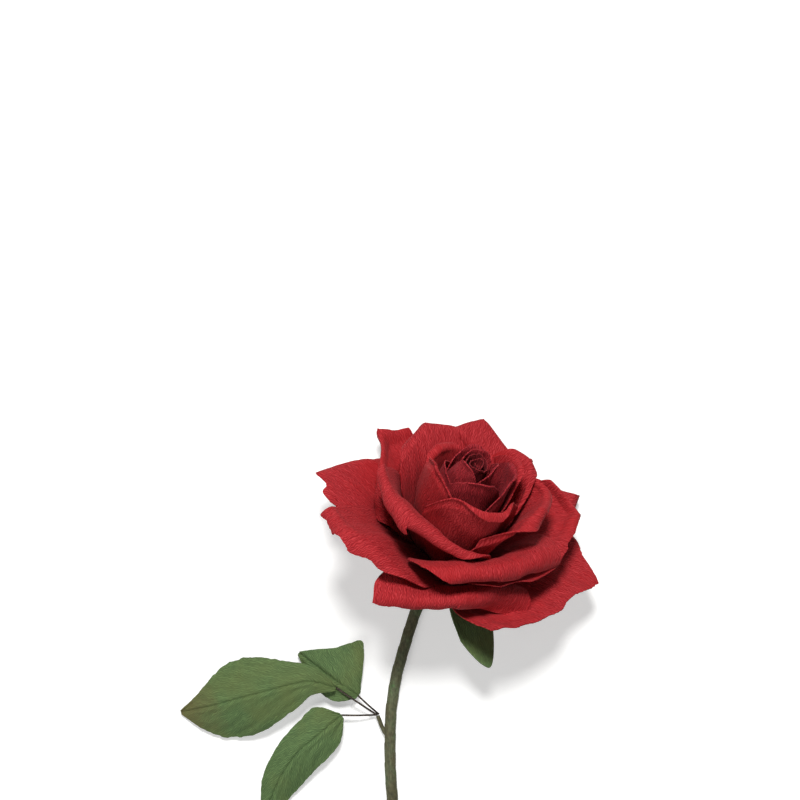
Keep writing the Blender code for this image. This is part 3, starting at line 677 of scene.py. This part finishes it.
def turned_sheet(name, profile, rings, sides, pleat, pleats, strip, finish, place):
    """A closed turned piece about Z with shallow pleats, its ends closed flat. The strip is how
    much paper goes round it and up it."""
    at = np.linspace(0, len(profile) - 1, rings)
    radius = np.interp(at, range(len(profile)), [r for r, _ in profile])
    height = np.interp(at, range(len(profile)), [z for _, z in profile])
    turn = np.linspace(0, 2 * math.pi, sides, endpoint=False)
    wave = pleat * np.sin(pleats * turn)[None, :] * np.sin(np.pi * np.linspace(0, 1, rings))[:, None]
    out = radius[:, None] + wave
    up = np.broadcast_to(height[:, None], out.shape)
    points = np.stack([out * np.cos(turn), out * np.sin(turn), up], axis=2).reshape(-1, 3)
    faces = [tuple(range(sides))[::-1], tuple(range((rings - 1) * sides, rings * sides))]
    for i in range(rings - 1):
        for k in range(sides):
            n = (k + 1) % sides
            faces.append((i * sides + k, i * sides + n, (i + 1) * sides + n, (i + 1) * sides + k))
    point = np.arange(rings * sides)
    blank = np.stack([point % sides * strip[0] / sides, point // sides * strip[1] / rings], axis=1)
    return shell(name, points, faces, blank, 50, finish, place)


# The hip's radius and height from the stem up
HIP_LENGTH = 13.0
HIP_PROFILE = ((3.2, -HIP_LENGTH - 0.5), (5.2, -HIP_LENGTH + 2.5), (6.9, -HIP_LENGTH + 6.5), (7.2, -3),
               (7.6, -0.9))
hip = turned_sheet("hip_wrap", HIP_PROFILE, rings=28, sides=132, pleat=0.14, pleats=22, strip=(40, 16),
                   finish=green_crepe, place=bloom_frame)
dress(hip, "crepe_green", "hip")


# Stem: the wire and its wadding wound with a strip of green crepe, each turn lapping the last,
# so the stem has low slanting steps. It lies on the table up to the bloom and curves up to it.
STEM_RADIUS = 2.65
TAPE_PITCH = 9.0
TAPE_LAP = 0.22
TONE_PATCHES = 75.0    # to a metre
GRAINS_PER_MM = 0.9
GRAIN_HEIGHT = 0.3
STEM_END = HIP_LENGTH + 0.9  # below the bloom's base


def tape_tree():
    """Geometry nodes: a round bar along a line, with an optional tape wound over it."""
    tree = bpy.data.node_groups.new("wound_bar", "GeometryNodeTree")
    for name, kind in (("Path", "Geometry"), ("Radius", "Float"), ("Sides", "Int"), ("Step", "Float"),
                       ("Tape Pitch", "Float"), ("Tape Lap", "Float"), ("Finish", "Material")):
        tree.interface.new_socket(name, in_out="INPUT", socket_type="NodeSocket" + kind)
    tree.interface.new_socket("Bar", in_out="OUTPUT", socket_type="NodeSocketGeometry")
    given = add_node(tree, "NodeGroupInput").outputs
    line = add_node(tree, "GeometryNodeMeshToCurve", {"Mesh": given["Path"]})
    even = add_node(tree, "GeometryNodeResampleCurve", {"Curve": line.outputs[0], "Length": given["Step"]},
                    mode="LENGTH")
    spline = add_node(tree, "GeometryNodeSplineParameter").outputs
    along = add_node(tree, "GeometryNodeCaptureAttribute", {"Geometry": even.outputs[0]})
    along.capture_items.new("FLOAT", "Along")
    tree.links.new(spline["Length"], along.inputs["Along"])
    ring = add_node(tree, "GeometryNodeCurvePrimitiveCircle",
                    {"Resolution": given["Sides"], "Radius": given["Radius"]})
    around = add_node(tree, "GeometryNodeCaptureAttribute", {"Geometry": ring.outputs[0]})
    around.capture_items.new("FLOAT", "Around")
    tree.links.new(spline["Factor"], around.inputs["Around"])
    bar = add_node(tree, "GeometryNodeCurveToMesh",
                   {"Curve": along.outputs["Geometry"], "Profile Curve": around.outputs["Geometry"],
                    "Fill Caps": True})
    turns = add_node(tree, "ShaderNodeMath", {0: along.outputs["Along"], 1: given["Tape Pitch"]},
                     operation="DIVIDE")
    wound = add_node(tree, "ShaderNodeMath", {0: turns.outputs[0], 1: around.outputs["Around"]})
    lap = add_node(tree, "ShaderNodeMath", {0: wound.outputs[0]}, operation="FRACT")
    height = add_node(tree, "ShaderNodeMath", {0: lap.outputs[0], 1: given["Tape Lap"]}, operation="MULTIPLY")
    outwards = add_node(tree, "ShaderNodeVectorMath",
                        {0: add_node(tree, "GeometryNodeInputNormal").outputs["Normal"],
                         "Scale": height.outputs[0]}, operation="SCALE")
    wrapped = add_node(tree, "GeometryNodeSetPosition",
                       {"Geometry": bar.outputs[0], "Offset": outwards.outputs["Vector"]})
    rounded = add_node(tree, "GeometryNodeSetShadeSmooth", {"Geometry": wrapped.outputs[0]})
    whole = add_node(tree, "GeometryNodeRealizeInstances", {"Geometry": rounded.outputs[0]})
    dressed = add_node(tree, "GeometryNodeSetMaterial",
                       {"Geometry": whole.outputs[0], "Material": given["Finish"]})
    add_node(tree, "NodeGroupOutput", {"Bar": dressed.outputs[0]})
    return tree


def grown_bar(name, path, finish, radius, sides, step, pitch=1.0, lap=0.0):
    """A piece along a path, made by the wound_bar tree and turned into a plain mesh."""
    guide = bpy.data.meshes.new(name + "_guide")
    guide.from_pydata([tuple(p) for p in path * MM], [(k, k + 1) for k in range(len(path) - 1)], [])
    made = put_in_scene(name, guide)
    modifier = made.modifiers.new("wound_bar", "NODES")
    modifier.node_group = wound_bar
    given = {"Radius": radius * MM, "Sides": sides, "Step": step * MM, "Tape Pitch": pitch * MM,
             "Tape Lap": lap * MM, "Finish": finish}
    for item in wound_bar.interface.items_tree:
        if item.in_out == "INPUT" and item.name in given:
            modifier[item.identifier] = given[item.name]
    bpy.context.view_layer.update()
    mesh = bpy.data.meshes.new_from_object(made.evaluated_get(bpy.context.evaluated_depsgraph_get()))
    made.modifiers.remove(modifier)
    made.data = mesh
    bpy.data.meshes.remove(guide)
    return made


def smooth_path(points, step):
    """Points about a step apart on a smooth curve through the given ones (Catmull-Rom)."""
    knots = [np.array(p, float) for p in points]
    knots = [2 * knots[0] - knots[1], *knots, 2 * knots[-1] - knots[-2]]
    path = []
    for a, b, c, d in zip(knots, knots[1:], knots[2:], knots[3:]):
        pieces = max(1, round(np.linalg.norm(c - b) / step))
        for t in np.linspace(0, 1, pieces, endpoint=False):
            path.append(0.5 * (2 * b + (c - a) * t + (2 * a - 5 * b + 4 * c - d) * t**2
                               + (3 * b - a - 3 * c + d) * t**3))
    path.append(knots[-2])
    return np.array(path)


def tape_finish():
    """Stretched crepe tape, olive to brown where it was toned, dull, with a fine slanting grain."""
    finish, tree, shader = new_finish("wound_crepe_tape", Roughness=0.7, Sheen_Weight=0.2,
                                      Sheen_Roughness=0.5, Sheen_Tint=srgb("#A8B090"), IOR=1.45,
                                      Specular_IOR_Level=0.35)
    place = add_node(tree, "ShaderNodeTexCoord").outputs["Object"]
    patches = add_node(tree, "ShaderNodeTexNoise",
                       {"Vector": place, "Scale": TONE_PATCHES, "Detail": 4.0, "Roughness": 0.7})
    tone = ramp(tree, patches.outputs["Fac"], ((0.3, "#3C3B27"), (0.45, "#55523A"), (0.58, "#585E43"),
                                               (0.7, "#4F6B40")))
    slant = add_node(tree, "ShaderNodeMapping",
                     {"Vector": place, "Rotation": (0, 0, 0.3), "Scale": (1.3, 0.55, 1.0)})
    ridges = add_node(tree, "ShaderNodeTexNoise",
                      {"Vector": slant.outputs[0], "Scale": GRAINS_PER_MM / MM, "Detail": 2.0})
    # Painted shade and highlight of the grain: the colour is darker in its grooves and lighter on its ridges.
    shade = add_node(tree, "ShaderNodeMapRange", {"Value": ridges.outputs["Fac"], "From Min": 0.3,
                                                  "From Max": 0.7, "To Min": 0.55, "To Max": 1.2})
    colour = add_node(tree, "ShaderNodeVectorMath", {0: tone, "Scale": shade.outputs[0]}, operation="SCALE")
    tree.links.new(colour.outputs["Vector"], shader.inputs["Base Color"])
    bump = add_node(tree, "ShaderNodeBump",
                    {"Height": ridges.outputs["Fac"], "Strength": 0.7, "Distance": GRAIN_HEIGHT * MM})
    tree.links.new(bump.outputs["Normal"], shader.inputs["Normal"])
    return finish


tape = tape_finish()
wound_bar = tape_tree()
axis = np.array(bloom_frame.to_3x3() @ Vector((0, 0, 1)))
top = np.array(bloom_frame.translation) / MM - axis * STEM_END
knots = [(0, 0, 0), (0, 12, 0), (-2.4, 57, 0), (-5.5, 114, 0), (-6.3, 126, 0), (-6.5, 139, 0), (-6.1, 153, 0),
         (-3.4, 171, 0), (0.2, 184, 0), (4.6, 198, 0), top - axis * 6, top]
path = smooth_path(knots, 12)
path[:, 2] = np.maximum(path[:, 2], 0)
stem = grown_bar("stem_tape", smooth_path(path, 2), tape, STEM_RADIUS - TAPE_LAP / 2, sides=32, step=0.9,
                 pitch=TAPE_PITCH, lap=TAPE_LAP)
dress(stem, "crepe_green", "stem_wrap")


# Leaf: three leaflets of green crepe, each glued over its own wire, the wires gathered into a
# short stalk that is bound to the stem. The ridges slant out from the midrib towards the tip.
LEAF_WIRE_RADIUS = 0.45
PETIOLE_RADIUS = 0.9
SEAT_GAP = 0.3
GRAIN_SLANT = math.radians(22)
LEAF_COLUMNS = 73
UNEVEN_EDGE = 0.025    # how unevenly the outline is cut, as a share of the half width
EDGE_WAVE = 0.9
GROOVE = (0.6, 0.6)    # depth and half width of the crease pressed along the midrib
SHOULDER = (0.25, 0.8, 1.6)  # height, half width and place of the rise on each side of it
VEIN_HEIGHT = 0.16
VEINS_PER_MM = 1.15    # in radians
WIRED = 0.62           # share of the midrib that the wire goes along
WIRE_ARCH = 1.2        # of its bare part
WIRE_DROP = 1.1 * (LEAF_PAPER / 2 + SEAT_GAP + LEAF_WIRE_RADIUS)  # below the midrib, where it slopes too
BROWN_PATCHES = 120.0  # to a metre
BROWN_DRIFT = 20       # how far the brown's edge strays


@dataclass
class Leaf:
    """One leaflet in the table's frame, in millimetres: stations along its midrib from the base
    to the tip, each with the midrib's place and the half widths on its left and right."""

    name: str
    stations: tuple     # (x, y, z, left, right)
    arch: float         # how far paper 16 mm from the midrib hangs below it, as a share of that


LEAVES = (
    Leaf("leaf_1", ((-21.4, 161.4, 2.5, 1.5, 1.5), (-27, 165.4, 4.0, 8, 14),
                    (-32.3, 169.2, 4.6, 9, 21.5), (-38.4, 173.6, 4.2, 8, 13),
                    (-44, 177.7, 3.0, 4.5, 6.5), (-49, 181, 0.5, 0.8, 0.8)), 0.18),
    Leaf("leaf_2", ((-31.5, 165.7, 6.5, 1.2, 1.2), (-44, 169.0, 10.5, 7.2, 7.2),
                    (-55.6, 166.7, 11.5, 12.6, 12.6), (-67.5, 163.5, 10.5, 17.2, 16.8),
                    (-77.8, 160.4, 8.0, 18.4, 16.4), (-87.5, 157.4, 5.2, 16, 11.5),
                    (-96, 155.2, 2.2, 9.6, 5.6), (-104, 153.3, -1.6, 0.8, 0.8)), 0.30),
    Leaf("leaf_3", ((-29.0, 152.5, 4.0, 1.5, 1.5), (-34.5, 148.2, 6.5, 8.5, 10.5),
                    (-41.5, 142.4, 7.6, 11, 10.6), (-48.5, 136.4, 7.6, 11.6, 9.6),
                    (-54, 129.2, 6.4, 11, 8.6), (-58.5, 121.4, 4.4, 9.5, 7.6), (-62, 112.6, 1.4, 6, 5),
                    (-66, 104, -1.6, 0.8, 0.8)), 0.34),
)


# Where each leaflet's wire leaves the petiole's end: to the right and up, as multiples of its
# radius and gap, and how much farther out its slanting end needs to start
FORK = ((1, -0.5, 0.2), (0, 1.1, 0.3), (-1, -0.5, 0.45))


def leaf_sheet(leaf):
    """The leaflet's middle surface, its midrib, and the paper's grain across and along."""
    place = smooth_path(leaf.stations, 1.0)
    middle = place[:, :3]
    tangent = np.gradient(middle, axis=0)
    side = np.cross(tangent, (0, 0, 1.0))
    side /= np.linalg.norm(side, axis=1, keepdims=True)
    share = np.linspace(-1, 1, LEAF_COLUMNS)[None, :]
    half = np.maximum(np.where(share < 0, place[:, 3:4], place[:, 4:5]), 0.3)
    trail = np.arange(len(place))[:, None] / 2.2 + 9
    half = half * (1 + UNEVEN_EDGE * wander(trail, trail + 30 * (share > 0), int(leaf.name[-1])))
    out = share * half
    run = np.concatenate([[0], np.cumsum(np.linalg.norm(np.diff(middle, axis=0), axis=1))])[:, None]
    across = math.sin(GRAIN_SLANT) * run - math.cos(GRAIN_SLANT) * np.abs(out)
    along = math.cos(GRAIN_SLANT) * run + math.sin(GRAIN_SLANT) * np.abs(out)
    grid = middle[:, None] + side[:, None] * out[..., None]
    edge = smooth(np.abs(share) * 1.2 - 0.2)
    wave = EDGE_WAVE * edge * wander(run / 14 + 5, share * 2.2 + 40, len(leaf.name) + int(leaf.name[-1]))
    rib = SHOULDER[0] * np.exp(-((np.abs(out) - SHOULDER[2]) / SHOULDER[1]) ** 2)
    rib = rib - GROOVE[0] * np.exp(-(out / GROOVE[1]) ** 2)
    veins = VEIN_HEIGHT * np.sin(across * VEINS_PER_MM + 2 * wander(run / 12, out / 6 + 30, 5))
    veins = veins * smooth(np.abs(out) / 3)
    grid[..., 2] += wave + rib + veins - leaf.arch * np.abs(out) ** 1.5 / 4
    return grid, middle, across, along


def end_of(path):
    """Unit vectors along, beside and over a path's end, carried along it without a twist."""
    over = np.array([0.0, 0.0, 1.0])
    for step in np.gradient(path, axis=0):
        ahead = step / np.linalg.norm(step)
        beside = np.cross(ahead, over)
        beside /= np.linalg.norm(beside)
        over = np.cross(beside, ahead)
    return ahead, beside, over


def scorched(finish, tip, spread):
    """A copy of a finish that turns brown towards a point, where the leaf was toned."""
    made = finish.copy()
    made.name = finish.name + "_brown_tip"
    tree = made.node_tree
    shader = tree.nodes["Principled BSDF"]
    green = shader.inputs["Base Color"].links[0].from_socket
    place = add_node(tree, "ShaderNodeTexCoord").outputs["Object"]
    far = add_node(tree, "ShaderNodeVectorMath", {0: place, 1: tuple(t * MM for t in tip)},
                   operation="DISTANCE")
    drift = add_node(tree, "ShaderNodeTexNoise", {"Vector": place, "Scale": BROWN_PATCHES, "Detail": 3.0})
    ragged_far = add_node(tree, "ShaderNodeMath",
                          {0: drift.outputs["Fac"], 1: BROWN_DRIFT * MM, 2: far.outputs["Value"]},
                          operation="MULTIPLY_ADD")
    near = add_node(tree, "ShaderNodeMapRange", {"Value": ragged_far.outputs[0], "From Min": spread * MM,
                                                 "From Max": 0.0, "To Max": 0.9})
    mixed = add_node(tree, "ShaderNodeMix", {"Factor": near.outputs[0], "A": green, "B": srgb("#6B5433")},
                     data_type="RGBA")
    tree.links.new(mixed.outputs["Result"], shader.inputs["Base Color"])
    return made


stalk = smooth_path([(-8.4, 143.4, 0.3), (-9.7, 145.4, 0.2), (-11.2, 149.2, 0.3), (-12.2, 151.8, 0.4)], 1)
ahead, beside, above = end_of(stalk)
petiole = grown_bar("petiole_tape", stalk, tape, PETIOLE_RADIUS, sides=20, step=0.5, pitch=4.0, lap=0.12)
dress(petiole, "crepe_green", "petiole")
brown_tip = scorched(green_crepe, LEAVES[1].stations[-1][:3], spread=34)
for leaf, (right, up, farther) in zip(LEAVES, FORK):
    grid, middle, across, along = leaf_sheet(leaf)
    grid = crepe(grid, across, along, 80 + int(leaf.name[-1]), gather=0.1)
    grid[..., 2] = np.maximum(grid[..., 2], TABLE_Z + LEAF_PAPER / 2)
    finish = brown_tip if leaf.name == "leaf_2" else green_crepe
    made = sheet_piece(leaf.name + "_paper", grid, across, along, LEAF_PAPER, finish, Matrix())
    dress(made, "crepe_green", leaf.name)
    spread = LEAF_WIRE_RADIUS + SEAT_GAP
    fork = stalk[-1] + beside * spread * right + above * spread * up + ahead * (SEAT_GAP + farther)
    rib = middle[:int(len(middle) * WIRED)].copy()
    rib[:, 2] = np.maximum(rib[:, 2] - WIRE_DROP, TABLE_Z + LEAF_WIRE_RADIUS)
    halfway = (fork + rib[0]) / 2 + np.array([0, 0, WIRE_ARCH])
    route = np.vstack([smooth_path([fork, halfway, rib[0]], 2)[:-1], rib])
    node = leaf.name.replace("leaf", "leaf_wire")
    wire = grown_bar(node + "_round", route, wire_finish, LEAF_WIRE_RADIUS, sides=14, step=0.8)
    dress(wire, "dark_wire", node)


# Table: a plain pale surface that takes the rose's shadow. The camera sees it glow a little, so
# it shows white, and it glows fully where it is too far off for a shadow or for the lamps.
TABLE_SIZE = 6.0           # metres
GLOW = (0.4, 1.0)          # how strongly it glows near the middle, and far off
GLOW_GROWS = (0.35, 0.9)   # metres from the middle


def seen_rays(tree, *kinds):
    """1 for rays from the camera and for those of the other kinds, 0 for the rest."""
    rays = add_node(tree, "ShaderNodeLightPath").outputs
    seen = rays["Is Camera Ray"]
    for kind in kinds:
        seen = add_node(tree, "ShaderNodeMath", {0: seen, 1: rays[kind]}, operation="MAXIMUM").outputs[0]
    return seen


def table_finish():
    """White card, dull, darker to the light that it throws back than to the eye."""
    finish, tree, shader = new_finish("pale_table", Roughness=0.9, Specular_IOR_Level=0.1)
    seen = seen_rays(tree, "Is Glossy Ray", "Is Transmission Ray")
    mixed = add_node(tree, "ShaderNodeMix", {"Factor": seen, "A": srgb("#A0A09E"), "B": srgb("#E4E4E2")},
                     data_type="RGBA")
    tree.links.new(mixed.outputs["Result"], shader.inputs["Base Color"])
    place = add_node(tree, "ShaderNodeTexCoord").outputs["Object"]
    far = add_node(tree, "ShaderNodeVectorMath", {0: place}, operation="LENGTH")
    level = add_node(tree, "ShaderNodeMapRange",
                     {"Value": far.outputs["Value"], "From Min": GLOW_GROWS[0], "From Max": GLOW_GROWS[1],
                      "To Min": GLOW[0], "To Max": GLOW[1]})
    glow = add_node(tree, "ShaderNodeMath", {0: seen, 1: level.outputs[0]}, operation="MULTIPLY")
    tree.links.new(glow.outputs[0], shader.inputs["Emission Strength"])
    shader.inputs["Emission Color"].default_value = (1, 1, 1, 1)
    return finish


bpy.ops.mesh.primitive_plane_add(size=TABLE_SIZE, location=(0, 0.15, TABLE_Z * MM))
table = bpy.context.object
table.name = "table_top"
table.data.materials.append(table_finish())


# Light and camera: a small soft lamp high beyond the bloom, which throws the shadows towards the
# stem's end, and a weak broad one at the lower left. The camera looks straight down from a
# metre above the table, as the photograph does.
PIXEL = 0.467 * MM         # what one pixel of the frame covers on the table
FRAME_PIXELS = 800
CAMERA_PLACE = (-4, 640)   # pixels from the stem's cut end
CAMERA_HEIGHT = 1.0        # metres
SENSOR = 36.0
LIT_POINT = (0.02, 0.2, 0.02)
SKY = (0.1, 1.0)           # how strongly it lights things, and how it looks


def soft_lamp(name, place, size, power):
    """A round lamp turned to the lit point. Place and size are in metres, the power in watts."""
    lamp = bpy.data.lights.new(name, "AREA")
    lamp.shape = "DISK"
    lamp.size = size
    lamp.energy = power
    made = put_in_scene(name, lamp)
    made.location = place
    made.rotation_euler = (Vector(LIT_POINT) - Vector(place)).to_track_quat("-Z", "Y").to_euler()


soft_lamp("key_lamp", (0.0, 0.9, 1.15), 0.3, 18.5)
soft_lamp("fill_lamp", (-0.6, -0.4, 0.9), 0.8, 4.5)
world = bpy.data.worlds.new("studio")
world.use_nodes = True
sky_tree = world.node_tree
sky_tree.nodes["Background"].inputs["Color"].default_value = (1, 1, 1, 1)
level = add_node(sky_tree, "ShaderNodeMapRange",
                 {"Value": seen_rays(sky_tree, "Is Glossy Ray"), "To Min": SKY[0], "To Max": SKY[1]})
sky_tree.links.new(level.outputs[0], sky_tree.nodes["Background"].inputs["Strength"])
bpy.context.scene.world = world

lens = bpy.data.cameras.new("camera")
lens.sensor_width = SENSOR
lens.lens = SENSOR * CAMERA_HEIGHT / (FRAME_PIXELS * PIXEL)
lens.clip_start = 0.05
camera = put_in_scene("camera", lens)
camera.location = (CAMERA_PLACE[0] * PIXEL, CAMERA_PLACE[1] * PIXEL, TABLE_Z * MM + CAMERA_HEIGHT)
bpy.context.scene.camera = camera
bpy.context.scene.view_settings.view_transform = "Standard"
